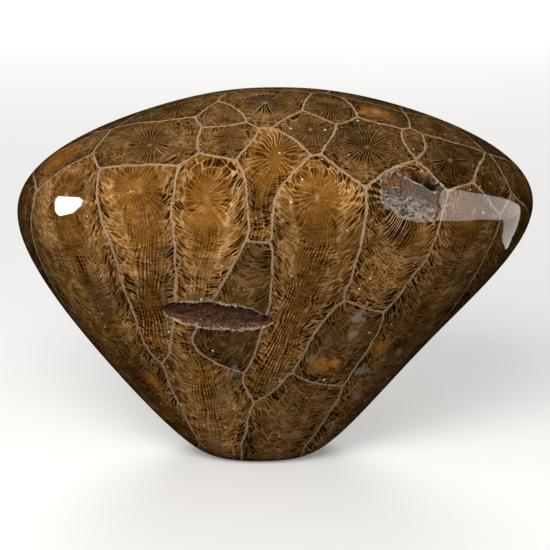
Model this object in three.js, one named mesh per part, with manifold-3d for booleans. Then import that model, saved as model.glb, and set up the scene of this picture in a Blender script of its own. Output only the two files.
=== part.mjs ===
// A polished fossil coral head: one solid stone, ground from a coral colony that fanned out from its base.
// It is a wide, rounded wedge. A shallow dome, the colony's living surface, lies on top, and the flanks run down
// almost straight to a small flat foot, cut where the colony grew on rock. Two open hollows break the front face:
// a long lens-shaped vug lined with fine crystals, and a deeper broken pocket in one of the corallites.
//
// Frame: millimetres, +Z up, +X to the right and +Y to the back as the front face is seen.
// The origin is the centre of the flat foot.

import * as THREE from "three";
import { NURBSCurve } from "three/addons/curves/NURBSCurve.js";
import { mergeVertices } from "three/addons/utils/BufferGeometryUtils.js";
import Module from "manifold-3d";

const wasm = await Module();
wasm.setup();

// Stations of the body, from the edge of the foot to the top of the dome. They are the control points of a
// cubic spline, so the surface passes near them and stays smooth.
const STATIONS = [
  { height: 0, halfWidth: 9, halfDepth: 7.5, centreX: 0 },
  { height: 0, halfWidth: 11.5, halfDepth: 9.5, centreX: 0 },
  { height: 3.5, halfWidth: 17, halfDepth: 13, centreX: 0 },
  { height: 24, halfWidth: 34, halfDepth: 21, centreX: -0.5 },
  { height: 40, halfWidth: 47.5, halfDepth: 27, centreX: 2 },
  { height: 53, halfWidth: 52.8, halfDepth: 30, centreX: 3.5 },
  { height: 63, halfWidth: 42.5, halfDepth: 26, centreX: 4 },
  { height: 71, halfWidth: 21, halfDepth: 14, centreX: 4 },
  { height: 73.3, halfWidth: 8, halfDepth: 5.5, centreX: 3.5 },
  { height: 73.3, halfWidth: 0, halfDepth: 0, centreX: 3.5 },
];
const FULLNESS = 0.025; // how much the level sections fill out past an ellipse at their corners

const RINGS = 44;
const SIDES = 84;

// The hollows: a place on the front face, the half-length, half-height and depth of the cut, and its tilt.
const VUG = { x: -8, z: 34.5, halfLength: 10.2, halfHeight: 2.9, depth: 1.5, tiltDeg: -6 };
const POCKET = { x: 28, z: 57, halfLength: 5.6, halfHeight: 4.6, depth: 2.2, tiltDeg: -22 };
const CUTTER_SIDES = 28;

const SPLINE_DEGREE = 3;
const SPANS = STATIONS.length - SPLINE_DEGREE;
const KNOTS = [
  ...Array(SPLINE_DEGREE).fill(0),
  ...Array.from({ length: SPANS + 1 }, (_, i) => i / SPANS),
  ...Array(SPLINE_DEGREE).fill(1),
];

const sizes = new NURBSCurve(
  SPLINE_DEGREE,
  KNOTS,
  STATIONS.map((s) => new THREE.Vector4(s.halfWidth, s.halfDepth, s.height, 1)),
);
const centres = new NURBSCurve(
  SPLINE_DEGREE,
  KNOTS,
  STATIONS.map((s) => new THREE.Vector4(s.centreX, 0, 0, 1)),
);

// A point of the body's surface: rise runs from 0 at the foot's edge to 1 at the top, and turn is an angle about
// the upright axis, 0 towards +X.
function surfacePoint(rise, turn) {
  const size = sizes.getPoint(rise);
  const centre = centres.getPoint(rise);
  const across = (Math.cos(turn) - FULLNESS * Math.cos(3 * turn)) / (1 - FULLNESS);
  const along = (Math.sin(turn) + FULLNESS * Math.sin(3 * turn)) / (1 - FULLNESS);
  return new THREE.Vector3(centre.x + size.x * across, size.y * along, size.z);
}

// The value between low and high at which a rising function reaches its target.
function solve(rising, target, low, high) {
  for (let step = 0; step < 40; step++) {
    const middle = (low + high) / 2;
    if (rising(middle) < target) low = middle;
    else high = middle;
  }
  return (low + high) / 2;
}

// Where the front face passes through a given x and z, with its outward normal.
function onFront(x, z) {
  const rise = solve((r) => surfacePoint(r, 0).z, z, 0, 1);
  const turn = solve((t) => surfacePoint(rise, t).x, x, Math.PI, 2 * Math.PI);
  const point = surfacePoint(rise, turn);
  const up = surfacePoint(rise + 0.01, turn).sub(point);
  const right = surfacePoint(rise, turn + 0.01).sub(point);
  return { point, right, normal: right.clone().cross(up).normalize() };
}

// The whole stone before the hollows are cut, as one closed mesh.
function bodyGeometry() {
  const positions = [];
  for (let ring = 0; ring < RINGS; ring++) {
    for (let side = 0; side < SIDES; side++) {
      positions.push(...surfacePoint(ring / RINGS, (side / SIDES) * 2 * Math.PI));
    }
  }
  const top = positions.length / 3;
  positions.push(...surfacePoint(1, 0));
  const footCentre = top + 1;
  positions.push(0, 0, 0);

  const index = [];
  for (let side = 0; side < SIDES; side++) {
    const next = (side + 1) % SIDES;
    index.push(footCentre, next, side);
    for (let ring = 0; ring < RINGS - 1; ring++) {
      const low = ring * SIDES;
      const high = low + SIDES;
      index.push(low + side, low + next, high + next, low + side, high + next, high + side);
    }
    const last = (RINGS - 1) * SIDES;
    index.push(last + side, last + next, top);
  }
  const geometry = new THREE.BufferGeometry();
  geometry.setAttribute("position", new THREE.Float32BufferAttribute(positions, 3));
  geometry.setIndex(index);
  return geometry;
}

// An ellipsoid centred on the front face, with its shortest axis along the face's normal.
function hollowGeometry({ x, z, halfLength, halfHeight, depth, tiltDeg }) {
  const { point, right, normal } = onFront(x, z);
  const sideways = right.addScaledVector(normal, -right.dot(normal)).normalize();
  const upward = normal.clone().cross(sideways);
  const geometry = new THREE.SphereGeometry(1, CUTTER_SIDES, CUTTER_SIDES / 2);
  geometry.scale(halfLength, halfHeight, depth);
  geometry.rotateZ(THREE.MathUtils.degToRad(tiltDeg));
  geometry.applyMatrix4(new THREE.Matrix4().makeBasis(sideways, upward, normal).setPosition(point));
  return geometry;
}

function toSolid(geometry) {
  geometry.deleteAttribute("normal");
  geometry.deleteAttribute("uv");
  const merged = mergeVertices(geometry);
  return new wasm.Manifold(
    new wasm.Mesh({
      numProp: 3,
      vertProperties: merged.attributes.position.array,
      triVerts: new Uint32Array(merged.index.array),
    }),
  );
}

function toGeometry(solid) {
  const mesh = solid.getMesh();
  const geometry = new THREE.BufferGeometry();
  geometry.setAttribute("position", new THREE.BufferAttribute(mesh.vertProperties, 3));
  geometry.setIndex(new THREE.BufferAttribute(mesh.triVerts, 1));
  geometry.computeVertexNormals();
  return geometry;
}

const stone = [VUG, POCKET].reduce(
  (solid, hollow) => solid.subtract(toSolid(hollowGeometry(hollow))),
  toSolid(bodyGeometry()),
);

const coral = new THREE.Mesh(
  toGeometry(stone),
  new THREE.MeshStandardMaterial({ color: 0x79542a, roughness: 0.12, metalness: 0 }),
);
coral.name = "coral_head";

const group = new THREE.Group();
group.add(coral);

export default group;
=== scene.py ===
"""A polished fossil coral head: one stone, ground to a smooth wedge with a domed top and a flat foot.

The stone was a colony of corallites, tubes that fan out from near the foot to the dome. The polish cuts
them across on the dome, where each shows as a round cup with radial septa, and lengthwise on the flanks,
where they show as long fields of feathery threads between pale walls. The corallites are laid out here as
tapered tubes inside the stone, and every mark on the surface is read from the nearest tube.
"""
import math
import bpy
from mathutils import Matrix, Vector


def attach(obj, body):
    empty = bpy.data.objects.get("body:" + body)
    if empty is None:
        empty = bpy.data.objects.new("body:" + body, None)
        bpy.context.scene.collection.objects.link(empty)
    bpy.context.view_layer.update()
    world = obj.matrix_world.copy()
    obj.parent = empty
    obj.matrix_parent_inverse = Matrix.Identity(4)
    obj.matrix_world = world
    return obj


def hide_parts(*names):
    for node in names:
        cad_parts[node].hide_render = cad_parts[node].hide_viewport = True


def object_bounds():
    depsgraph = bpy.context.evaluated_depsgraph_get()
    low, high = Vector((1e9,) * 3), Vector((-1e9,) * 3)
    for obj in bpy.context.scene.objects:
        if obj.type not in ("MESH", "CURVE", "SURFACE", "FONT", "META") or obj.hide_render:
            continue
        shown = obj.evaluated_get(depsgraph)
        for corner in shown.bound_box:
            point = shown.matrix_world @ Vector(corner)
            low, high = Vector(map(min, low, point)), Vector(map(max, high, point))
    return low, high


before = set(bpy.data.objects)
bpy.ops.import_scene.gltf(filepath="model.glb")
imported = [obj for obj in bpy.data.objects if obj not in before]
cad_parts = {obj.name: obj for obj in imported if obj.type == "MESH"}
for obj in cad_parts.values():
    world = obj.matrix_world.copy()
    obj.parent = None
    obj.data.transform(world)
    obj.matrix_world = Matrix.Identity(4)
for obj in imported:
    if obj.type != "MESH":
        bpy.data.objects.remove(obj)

from types import SimpleNamespace

import bmesh
import bpy
import numpy as np
from bpy.props import FloatProperty, FloatVectorProperty, IntProperty, PointerProperty
from mathutils import Color, Vector, noise

bl_info = {
    "name": "Fossil Coral Head",
    "version": (1, 0, 0),
    "blender": (4, 5, 0),
    "location": "3D View > Sidebar > Coral",
    "description": "Builds a polished fossil coral head, its crystals and its studio",
    "category": "Add Mesh",
}

CAD_BOX = [list(corner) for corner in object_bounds()]

# Level rings that the stone's skin is lofted through, from the foot up, in the stone's own millimetres:
# height, half width, half depth, and the ring's centre along X.
STATIONS = (
    (0.0, 9.0, 7.5, 0.0),
    (0.0, 11.5, 9.5, 0.0),
    (3.5, 17.0, 13.0, 0.0),
    (24.0, 34.0, 21.0, -0.5),
    (40.0, 47.5, 27.0, 2.0),
    (53.0, 52.8, 30.0, 3.5),
    (63.0, 42.5, 26.0, 4.0),
    (71.0, 21.0, 14.0, 4.0),
    (73.3, 8.0, 5.5, 3.5),
    (73.3, 0.0, 0.0, 3.5),
)
FULLNESS = 0.025
SPLINE_DEGREE = 3

# One stone millimetre in metres, from the height of the CAD solid.
MM = (CAD_BOX[1][2] - CAD_BOX[0][2]) / STATIONS[-1][0]

# The two crystal-lined hollows on the front face: centre, half sizes, depth and tilt.
VUG = {"x": -7.5, "z": 34.8, "half_length": 10.4, "half_height": 2.9, "depth": 1.3, "tilt": -6.0}
POCKET = {"x": 28.3, "z": 58.2, "half_length": 5.7, "half_height": 4.3, "depth": 1.5, "tilt": -16.0}

# Corallites cut by the front flank, as routes from the cup down towards the foot. Each stop gives a place
# on the skin (x, y, z), how deep the tube's axis lies under it, and half the width that shows there.
FLANK_CORALLITES = {
    "far_left": ((-36, -18.5, 56.5, 0.2, 6.6), (-34, -21, 46.5, 3.4, 6.6), (-30, -19.5, 35.5, 3.6, 6),
                 (-24.5, -15, 22, 3.4, 4.6), (-17.5, -12, 11.5, 3.2, 3), (-12.5, -10, 5, 3, 2)),
    "left": ((-22, -24, 59, 0.2, 8.2), (-20.5, -26.5, 49, 3.6, 5.6), (-20, -24, 38, 3.6, 4.4),
             (-19, -20, 27.5, 4, 1)),
    "left_centre": ((-9, -27, 58, 0.2, 8.2), (-9.5, -28, 48.5, 3.6, 6.2), (-12.5, -23.5, 34, 4, 3.6),
                    (-10, -18.5, 19, 3.4, 6.2), (-8.5, -11.5, 4.5, 4, 4)),
    "brow": ((3, -22.5, 65, 0.2, 6.2), (1, -27.5, 58, 3.4, 3.2), (0, -29, 52.5, 4, 1.6)),
    "heart": ((-0.5, -28.5, 47, 5, 2.8), (-4, -25.5, 37.5, 5, 5.4), (-8, -22.5, 28.5, 5, 7)),
    "right_centre": ((11, -27.5, 58, 0.2, 8.2), (10.5, -28.5, 49.5, 3.4, 8), (8, -26, 38.5, 3.4, 5.2),
                     (5, -23, 29.5, 3.4, 3.8), (1.5, -19.5, 20.5, 4, 2.4)),
    "right": ((27.5, -25.5, 57, 0.2, 7.2), (26, -26.5, 49, 4, 6.6), (22, -25, 40.5, 5, 3.6)),
    "right_knee": ((17, -22.5, 31.5, 5, 4.4), (11.8, -19.5, 22.4, 4.2, 4)),
    "low_right": ((8.2, -17, 16, 4.6, 5.8), (2.5, -12.5, 4.5, 4.6, 4.8)),
    "far_right": ((40, -21.5, 54, 0.2, 5.4), (36.5, -23, 47, 3.2, 5.6), (32.5, -20.5, 38, 3.4, 5.6),
                  (27.5, -16.5, 27.5, 3.4, 5), (21.5, -12.5, 16.5, 3.4, 4.6), (14, -8, 4.5, 4, 3.4)),
    "right_end": ((49, -14, 50, 0.5, 4.6), (45, -11, 39, 4, 4), (39, -7, 30.5, 4, 3)),
}
# How light the stone is in each of them, 1 for the lightest: partly the stone's own tone and partly painted
# shade, set darker low down and towards the ends where the light falls off.
FLANK_TONES_AND_SHADE = {
    "far_left": 0.8, "left": 0.95, "left_centre": 1.0, "brow": 0.92, "heart": 0.54, "right_centre": 0.95,
    "right": 0.82, "right_knee": 0.6, "low_right": 0.7, "far_right": 0.75, "right_end": 0.7,
}
# Corallites cut across by the dome: the cup's place on the skin, its half width and how light it is.
DOME_CORALLITES = (
    (43.5, -16.5, 58.5, 3.8, 0.6), (36, -16.5, 63, 5.6, 0.53), (29, -16, 66, 2.2, 0.64),
    (34.5, -6, 67, 4.2, 0.50), (20, -19, 66, 7.6, 0.57), (9.5, -16.5, 68.5, 5.2, 0.68),
    (22.5, -7.5, 70.5, 4.6, 0.57), (13.5, -10, 71.5, 4.8, 0.57), (1.5, -8, 72.5, 6.6, 0.64),
    (-6, -12, 70.5, 3.6, 0.68), (-5.5, -18.5, 67.5, 4.4, 0.76), (-20.5, -16, 66, 8.2, 0.66),
    (-16.5, -4, 70.5, 6, 0.60), (-38, -7, 61.5, 5.2, 0.71), (50.5, -10, 55.5, 3.4, 0.58),
    (-45.5, -7, 53, 3.4, 0.60), (43.5, 0.5, 63.5, 2, 0.48), (28, 2, 69.5, 1.8, 0.48),
)
GROWTH_ORIGIN = (-2.0, 0.0, -15.0)
DOME_REACH = 0.75
NEAREST_CUPS = 5.5

# The windows that the polish mirrors: upright sheets to the left and the right, with their places along X
# and their outlines along Y and Z, in stone millimetres.
LEFT_WINDOW_PLACE = -600.0
LEFT_WINDOW = ((45, 290), (58, 335), (-150, 405), (-215, 380), (-260, 295), (-243, 170), (-213, 144),
               (-132, 94), (-74, 127), (-7, 223))
RIGHT_WINDOW_PLACE = 150.0
RIGHT_WINDOW = ((-262, 93), (-214, 250), (-76, 178), (-42, 128), (4, 83), (31, 57), (41, 46), (44, 28),
                (-14, 28), (-67, 39), (-103, 38), (-140, 41), (-191, 55))
RIGHT_WINDOW_FOOT = ((-14, 28), (44, 28), (49, 8), (64, -24), (95, -45), (81, -45), (31, -28), (7, -13))

# Patches of other mineral near the skin: place (x, y, z), radius, then rust, grey and dark strength.
STAINS = (
    ((22.5, -7.5, 70.5), 4.2, 0.8, 0.0, 0.0),
    ((22.5, -7.5, 70.5), 1.3, 0.0, 0.7, 0.0),
    ((-38, -5, 61.5), 7.0, 0.65, 0.0, 0.0),
    ((-20.7, -15, 18.8), 2.3, 0.9, 0.0, 0.3),
    ((12, -20, 23.8), 2.0, 1.0, 0.0, 0.0),
    ((14.5, -20, 24), 1.6, 0.9, 0.0, 0.0),
    ((22.8, -18.5, 26.7), 2.5, 0.85, 0.0, 0.0),
    ((19, -23, 34.3), 1.7, 0.0, 0.9, 0.0),
    ((17.8, -21.5, 29.8), 1.6, 0.0, 0.9, 0.0),
    ((27, -15.5, 25), 1.4, 0.0, 0.8, 0.0),
    ((19.8, -17, 21.5), 1.6, 0.0, 0.75, 0.0),
    ((18.5, -13, 16), 2.0, 0.0, 0.7, 0.0),
    ((-4.5, -20, 21.8), 3.4, 0.0, 0.3, 0.0),
    ((-6.4, -17.5, 16), 2.8, 0.0, 0.4, 0.0),
    ((1.5, -8, 72.5), 3.6, 0.0, 0.0, 1.0),
    ((1.5, -8, 72.5), 0.9, 0.0, 1.0, 0.0),
    ((26.1, -26.5, 53.5), 3.9, 0.0, 0.0, 1.0),
    ((22.6, -25.5, 58.3), 2.9, 0.0, 0.0, 1.0),
    ((20, -19, 66), 4.5, 0.0, 0.0, 0.35),
    ((36, -16.5, 63), 4.5, 0.0, 0.0, 0.35),
)


def smooth_step(low, high, value):
    share = np.clip((value - low) / (high - low), 0.0, 1.0)
    return share * share * (3.0 - 2.0 * share)


# ---------------------------------------------------------------- the stone's skin

def spline_weights(rise):
    """How much each station pulls at each rise, for a clamped cubic B-spline."""
    count = len(STATIONS)
    spans = count - SPLINE_DEGREE
    inner = np.linspace(0.0, 1.0, spans + 1)
    knots = np.concatenate([np.zeros(SPLINE_DEGREE), inner, np.ones(SPLINE_DEGREE)])
    rise = np.clip(rise, 0.0, 1.0 - 1e-12)
    weights = [((knots[i] <= rise) & (rise < knots[i + 1])).astype(float) for i in range(len(knots) - 1)]
    for degree in range(1, SPLINE_DEGREE + 1):
        raised = []
        for i in range(len(weights) - 1):
            total = np.zeros_like(rise)
            if knots[i + degree] > knots[i]:
                total = total + (rise - knots[i]) / (knots[i + degree] - knots[i]) * weights[i]
            if knots[i + degree + 1] > knots[i + 1]:
                share = (knots[i + degree + 1] - rise) / (knots[i + degree + 1] - knots[i + 1])
                total = total + share * weights[i + 1]
            raised.append(total)
        weights = raised
    return np.stack(weights, axis=1)


def skin_points(rise, turn):
    """Places on the skin in metres. Rise runs from the foot to the apex, turn runs round the stone."""
    height, half_width, half_depth, centre = (spline_weights(rise) @ np.array(STATIONS)).T
    across = (np.cos(turn) - FULLNESS * np.cos(3 * turn)) / (1 - FULLNESS)
    along = (np.sin(turn) + FULLNESS * np.sin(3 * turn)) / (1 - FULLNESS)
    return np.stack([centre + half_width * across, half_depth * along, height], axis=1) * MM


def even_steps(curve, values, count):
    """Values spread so that the curve's points lie at even distances."""
    lengths = np.linalg.norm(np.diff(curve, axis=0), axis=1)
    travelled = np.concatenate([[0.0], np.cumsum(lengths)])
    return np.interp(np.linspace(0.0, travelled[-1], count), travelled, values)


def skin_grid(rings, sides, foot_rings):
    """Vertices, quads and triangles of the closed skin, with each vertex's rise and turn."""
    fine = np.linspace(0.0, 1.0, 4000)
    profile = skin_points(fine, np.full_like(fine, -math.pi / 4))
    rises = even_steps(profile, fine, rings + 1)[:-1]
    widest = np.full_like(fine, 0.55)
    around = fine * 2 * math.pi + math.pi / 2
    turns = even_steps(skin_points(widest, around), around, sides + 1)[:-1]
    rise, turn = (grid.ravel() for grid in np.meshgrid(rises, turns, indexing="ij"))
    skin = skin_points(rise, turn)
    foot = skin[:sides]
    shares = np.arange(1, foot_rings) / foot_rings
    sole = (foot[None] * shares[:, None, None]).reshape(-1, 3)
    apex = skin_points(np.array([1.0]), np.array([0.0]))
    points = np.vstack([np.zeros((1, 3)), sole, skin, apex])
    rise = np.concatenate([np.zeros(1 + len(sole)), rise, [1.0]])
    turn = np.concatenate([[0.0], np.tile(turns, foot_rings - 1), turn, [0.0]])
    levels = rings + foot_rings - 1
    lower = 1 + np.arange(sides)
    upper = 1 + (np.arange(sides) + 1) % sides
    faces = [(0, b, a) for a, b in zip(lower.tolist(), upper.tolist())]
    for level in range(levels - 1):
        start = level * sides
        quads = np.stack([lower + start, upper + start, upper + start + sides, lower + start + sides], axis=1)
        faces.extend(map(tuple, quads.tolist()))
    top = (levels - 1) * sides
    last = len(points) - 1
    faces.extend((a + top, b + top, last) for a, b in zip(lower.tolist(), upper.tolist()))
    return points, faces, rise, turn


# ---------------------------------------------------------------- the hollows

def noise_at(points, size, seed):
    """Smooth noise in -1..1 with features of the given size, one value for each point."""
    shift = Vector((seed * 17.3, seed * 5.1, seed * 9.7))
    return np.array([noise.noise(Vector(point) / size + shift) for point in points.tolist()])


def hollow_places(points, hollow):
    """Each point's place in a hollow's outline, 1 at the ends of its length and of its height."""
    tilt = math.radians(hollow["tilt"])
    x = points[:, 0] / MM - hollow["x"]
    z = points[:, 2] / MM - hollow["z"]
    along = (x * math.cos(tilt) + z * math.sin(tilt)) / hollow["half_length"]
    across = (z * math.cos(tilt) - x * math.sin(tilt)) / hollow["half_height"]
    return along, across


def vug_inside(points):
    """The long lens-shaped vug: 1 on its middle line, 0 on its rim and below 0 outside."""
    along, across = hollow_places(points, VUG)
    taper = np.where(along < 0, 0.42, 0.62)
    lens = np.clip(1 - along * along, 0.0008, None) ** taper
    inside = 1 - np.abs(across) / lens
    ragged = 0.16 * noise_at(points, 1.5 * MM, 1) + 0.1 * noise_at(points, 0.6 * MM, 2)
    return np.clip(np.where(np.abs(along) < 1, inside + ragged, -1.0), -1.0, 1.0)


def pocket_inside(points):
    """The broken pocket: steep and jagged above, shallow below. 1 in the middle, 0 on the rim."""
    along, across = hollow_places(points, POCKET)
    round_off = (np.abs(along) ** 2.6 + np.abs(across) ** 2.6) ** (1 / 2.6)
    jagged = 0.22 * noise_at(points, 3.2 * MM, 3) + 0.12 * noise_at(points, 1.1 * MM, 4)
    return np.clip(1 - round_off + jagged, -1.0, 1.0)


def pocket_slot(along, across):
    """The dark slot under the pocket's upper right edge, 1 inside it."""
    above = across - 0.66 + 0.3 * along
    thick = smooth_step(-0.02, 0.05, above) * (1 - smooth_step(0.26, 0.34, above))
    return thick * smooth_step(-0.15, 0.02, along) * (1 - smooth_step(0.72, 0.92, along))


def hollow_depths(points, vug, pocket):
    """How far the skin is sunk at each point, in metres."""
    along, across = hollow_places(points, POCKET)
    rough = noise_at(points, 1.1 * MM, 5)
    vug_depth = VUG["depth"] * smooth_step(0.0, 0.45, vug) * (0.85 + 0.25 * rough)
    slot = pocket_slot(along, across)
    ramp = 0.4 + 0.6 * smooth_step(-1.0, 0.3, across) + 1.3 * slot
    pocket_depth = POCKET["depth"] * smooth_step(0.0, 0.2, pocket) * ramp * (0.8 + 0.35 * rough)
    return (vug_depth + pocket_depth) * MM


# ---------------------------------------------------------------- the corallites

class Corallite:
    """A tapered tube along a smooth route, with a frame of directions that turns gently along it."""

    STEPS = 10

    def __init__(self, stops, half_widths, depths, tone, seed):
        stops = np.array(stops, float)
        reach = np.sqrt(np.array(half_widths, float) ** 2 + np.array(depths, float) ** 2) * MM
        self.axis, self.radius = self.smoothed(stops, reach)
        forward = -np.gradient(self.axis, axis=0)
        forward /= np.linalg.norm(forward, axis=1, keepdims=True)
        outward = np.tile(self.axis[0] - np.array(GROWTH_ORIGIN) * MM, (len(forward), 1))
        outward[:, 1] -= 40 * MM
        side = np.cross(forward, outward)
        side /= np.linalg.norm(side, axis=1, keepdims=True)
        self.frames = np.stack([side, np.cross(side, forward), forward], axis=1)
        steps = np.linalg.norm(np.diff(self.axis, axis=0), axis=1)
        self.below = np.concatenate([[0.0], np.cumsum(steps)])
        random = np.random.default_rng(seed)
        self.shade = random.uniform(0.0, 1.0)
        self.tone = tone
        self.tube = min(4.1, 0.66 * half_widths[0]) * random.uniform(0.92, 1.08) * MM

    def smoothed(self, stops, reach):
        """The route and radius drawn as a smooth curve through the stops."""
        if len(stops) == 2:
            share = np.linspace(0, 1, 3)[:, None]
            return stops[0] + share * (stops[1] - stops[0]), reach[0] + share[:, 0] * (reach[1] - reach[0])
        rows = np.column_stack([stops, reach])
        rows = np.vstack([2 * rows[0] - rows[1], rows, 2 * rows[-1] - rows[-2]])
        steps = np.linspace(0, len(stops) - 1, self.STEPS)
        index = np.minimum(steps.astype(int), len(stops) - 2)
        share = (steps - index)[:, None]
        before, start, end, after = (rows[index + offset] for offset in range(4))
        curve = 0.5 * (
            2 * start + (end - before) * share
            + (2 * before - 5 * start + 4 * end - after) * share ** 2
            + (3 * start - before - 3 * end + after) * share ** 3
        )
        return curve[:, :3], curve[:, 3]

    def nearest(self, points):
        """Each point's distance past the tube's side, its nearest link of the route and its share of it."""
        best = np.full(len(points), np.inf)
        link = np.zeros(len(points), int)
        share = np.zeros(len(points))
        for index in range(len(self.axis) - 1):
            step = self.axis[index + 1] - self.axis[index]
            along = np.clip((points - self.axis[index]) @ step / (step @ step), 0.0, 1.0)
            gap = points - self.axis[index] - along[:, None] * step
            radius = self.radius[index] + along * (self.radius[index + 1] - self.radius[index])
            past = np.sqrt(np.einsum("ij,ij->i", gap, gap)) - radius
            nearer = past < best
            best[nearer] = past[nearer]
            link[nearer] = index
            share[nearer] = along[nearer]
        return best, link, share

    def offset(self, points, link, share):
        return points - self.axis[link] - share[:, None] * (self.axis[link + 1] - self.axis[link])

    def cup_places(self, points):
        """Each point in the tube's own frame: two ways across it, and its height over the cup (below 0)."""
        _, link, share = self.nearest(points)
        gap = self.offset(points, link, share)
        mix = share[:, None, None]
        turned = self.frames[link] * (1 - mix) + self.frames[link + 1] * mix
        local = np.einsum("ijk,ik->ij", turned, gap)
        travelled = self.below[link] + share * (self.below[link + 1] - self.below[link])
        local[:, 2] -= travelled
        return local


class Skin:
    """Looks up the skin's nearest vertex, so that a rough place can be snapped to it and sunk inwards."""

    def __init__(self, points, normals):
        self.points = points
        self.normals = normals

    def sink(self, place, depth):
        target = np.array(place, float) * MM
        index = np.argmin(((self.points - target) ** 2).sum(axis=1))
        return self.points[index] - self.normals[index] * depth * MM


def turned_place(place, random):
    """The matching place on the back of the stone, moved a little."""
    middle = 2 * STATIONS[5][3] * place[2] / STATIONS[-1][0]
    moved = (middle - place[0], -place[1], place[2])
    return tuple(value + random.uniform(-0.9, 0.9) for value in moved)


def grow_colony(skin):
    """All corallites: the front ones as listed, and their turned copies on the back, a little changed."""
    random = np.random.default_rng(41)
    routes = [(route, FLANK_TONES_AND_SHADE[name]) for name, route in FLANK_CORALLITES.items()]
    for route, tone in list(routes):
        turned = []
        for *place, depth, half_width in route:
            turned.append((*turned_place(place, random), depth, half_width * random.uniform(0.9, 1.1)))
        routes.append((turned, tone))
    cups = list(DOME_CORALLITES)
    for cup in DOME_CORALLITES:
        place = turned_place(cup[:3], random)
        if min(math.dist(place, other[:3]) for other in cups) > NEAREST_CUPS:
            cups.append((*place, cup[3] * random.uniform(0.88, 1.1), cup[4]))
    colony = []
    for route, tone in routes:
        stops = [skin.sink(stop[:3], stop[3]) for stop in route]
        widths = [stop[4] for stop in route]
        colony.append(Corallite(stops, widths, [stop[3] for stop in route], tone, len(colony)))
    origin = np.array(GROWTH_ORIGIN) * MM
    for *place, half_width, tone in cups:
        top = skin.sink(place, 0.0)
        stops = [top, top + DOME_REACH * (origin - top)]
        colony.append(Corallite(stops, [half_width, half_width * 0.3], [0.0, 0.0], tone, len(colony)))
    return colony


def warped(points):
    """The points moved a little by smooth noise, so that walls and tubes wander as grown ones do."""
    moved = [point + 0.55 * MM * np.array(noise.noise_vector(Vector(point) / (5.5 * MM)))
             + 0.17 * MM * np.array(noise.noise_vector(Vector(point) / (1.7 * MM))) for point in points]
    return np.array(moved)


def colony_marks(points, normals, corners, face_of_corner, centres, colony):
    """For each face corner: its place in the face's corallite, its distance from the wall, and constants."""
    shifted = warped(points)
    middles = warped(centres)
    past = np.empty((len(colony), len(points)), np.float32)
    away = np.empty((len(colony), len(points), 3), np.float32)
    nearest_past = np.full(len(centres), np.inf)
    owner = np.zeros(len(centres), int)
    for index, corallite in enumerate(colony):
        distance, link, share = corallite.nearest(shifted)
        gap = corallite.offset(shifted, link, share)
        past[index] = distance
        away[index] = gap / np.maximum(np.linalg.norm(gap, axis=1, keepdims=True), 1e-9)
        distance = corallite.nearest(middles)[0]
        closer = distance < nearest_past
        nearest_past[closer] = distance[closer]
        owner[closer] = index
    corner_owner = owner[face_of_corner]
    cup = np.zeros((len(corners), 3))
    wall = np.zeros(len(corners))
    cell = np.zeros((len(corners), 3))
    for index, corallite in enumerate(colony):
        mine = np.nonzero(corner_owner == index)[0]
        if len(mine) == 0:
            continue
        vertices, back = np.unique(corners[mine], return_inverse=True)
        cup[mine] = corallite.cup_places(shifted[vertices])[back]
        others = past[:, vertices].copy()
        others[index] = np.inf
        rival = np.argmin(others, axis=0)
        gap = others[rival, np.arange(len(vertices))] - past[index, vertices]
        slope = away[rival, vertices] - away[index, vertices]
        slope = slope - (slope * normals[vertices]).sum(axis=1, keepdims=True) * normals[vertices]
        steepness = np.clip(np.linalg.norm(slope, axis=1), 0.4, None)
        wall[mine] = (gap / steepness)[back]
        cell[mine] = (corallite.shade, corallite.tube, corallite.tone)
    return cup, wall, cell


def stain_marks(points):
    """Rust, grey and dark strengths at each point, from the patches."""
    marks = np.zeros((len(points), 3))
    drifts = [noise.noise_vector(Vector(point) / (2.2 * MM)) for point in points.tolist()]
    shifted = points / MM + 1.5 * np.array(drifts)
    for place, radius, *strengths in STAINS:
        distance = np.linalg.norm(shifted - np.array(place), axis=1)
        fade = 1 - smooth_step(0.35 * radius, 1.35 * radius, distance)
        marks = np.maximum(marks, fade[:, None] * np.array(strengths))
    return marks


# ---------------------------------------------------------------- node trees

def operation(kind, swapped=False):
    """A method that adds a math node to the graph, for Signal's arithmetic."""
    def method(self, other):
        pair = (other, self) if swapped else (self, other)
        return self.graph.math(kind, *pair)
    return method


class Signal:
    """What a socket carries. It is added, multiplied and so on as a number is."""

    def __init__(self, graph, socket):
        self.graph = graph
        self.socket = socket

    def __abs__(self):
        return self.graph.math("ABSOLUTE", self)

    __add__ = operation("ADD")
    __sub__ = operation("SUBTRACT")
    __rsub__ = operation("SUBTRACT", swapped=True)
    __mul__ = operation("MULTIPLY")
    __truediv__ = operation("DIVIDE")
    __rtruediv__ = operation("DIVIDE", swapped=True)


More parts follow.
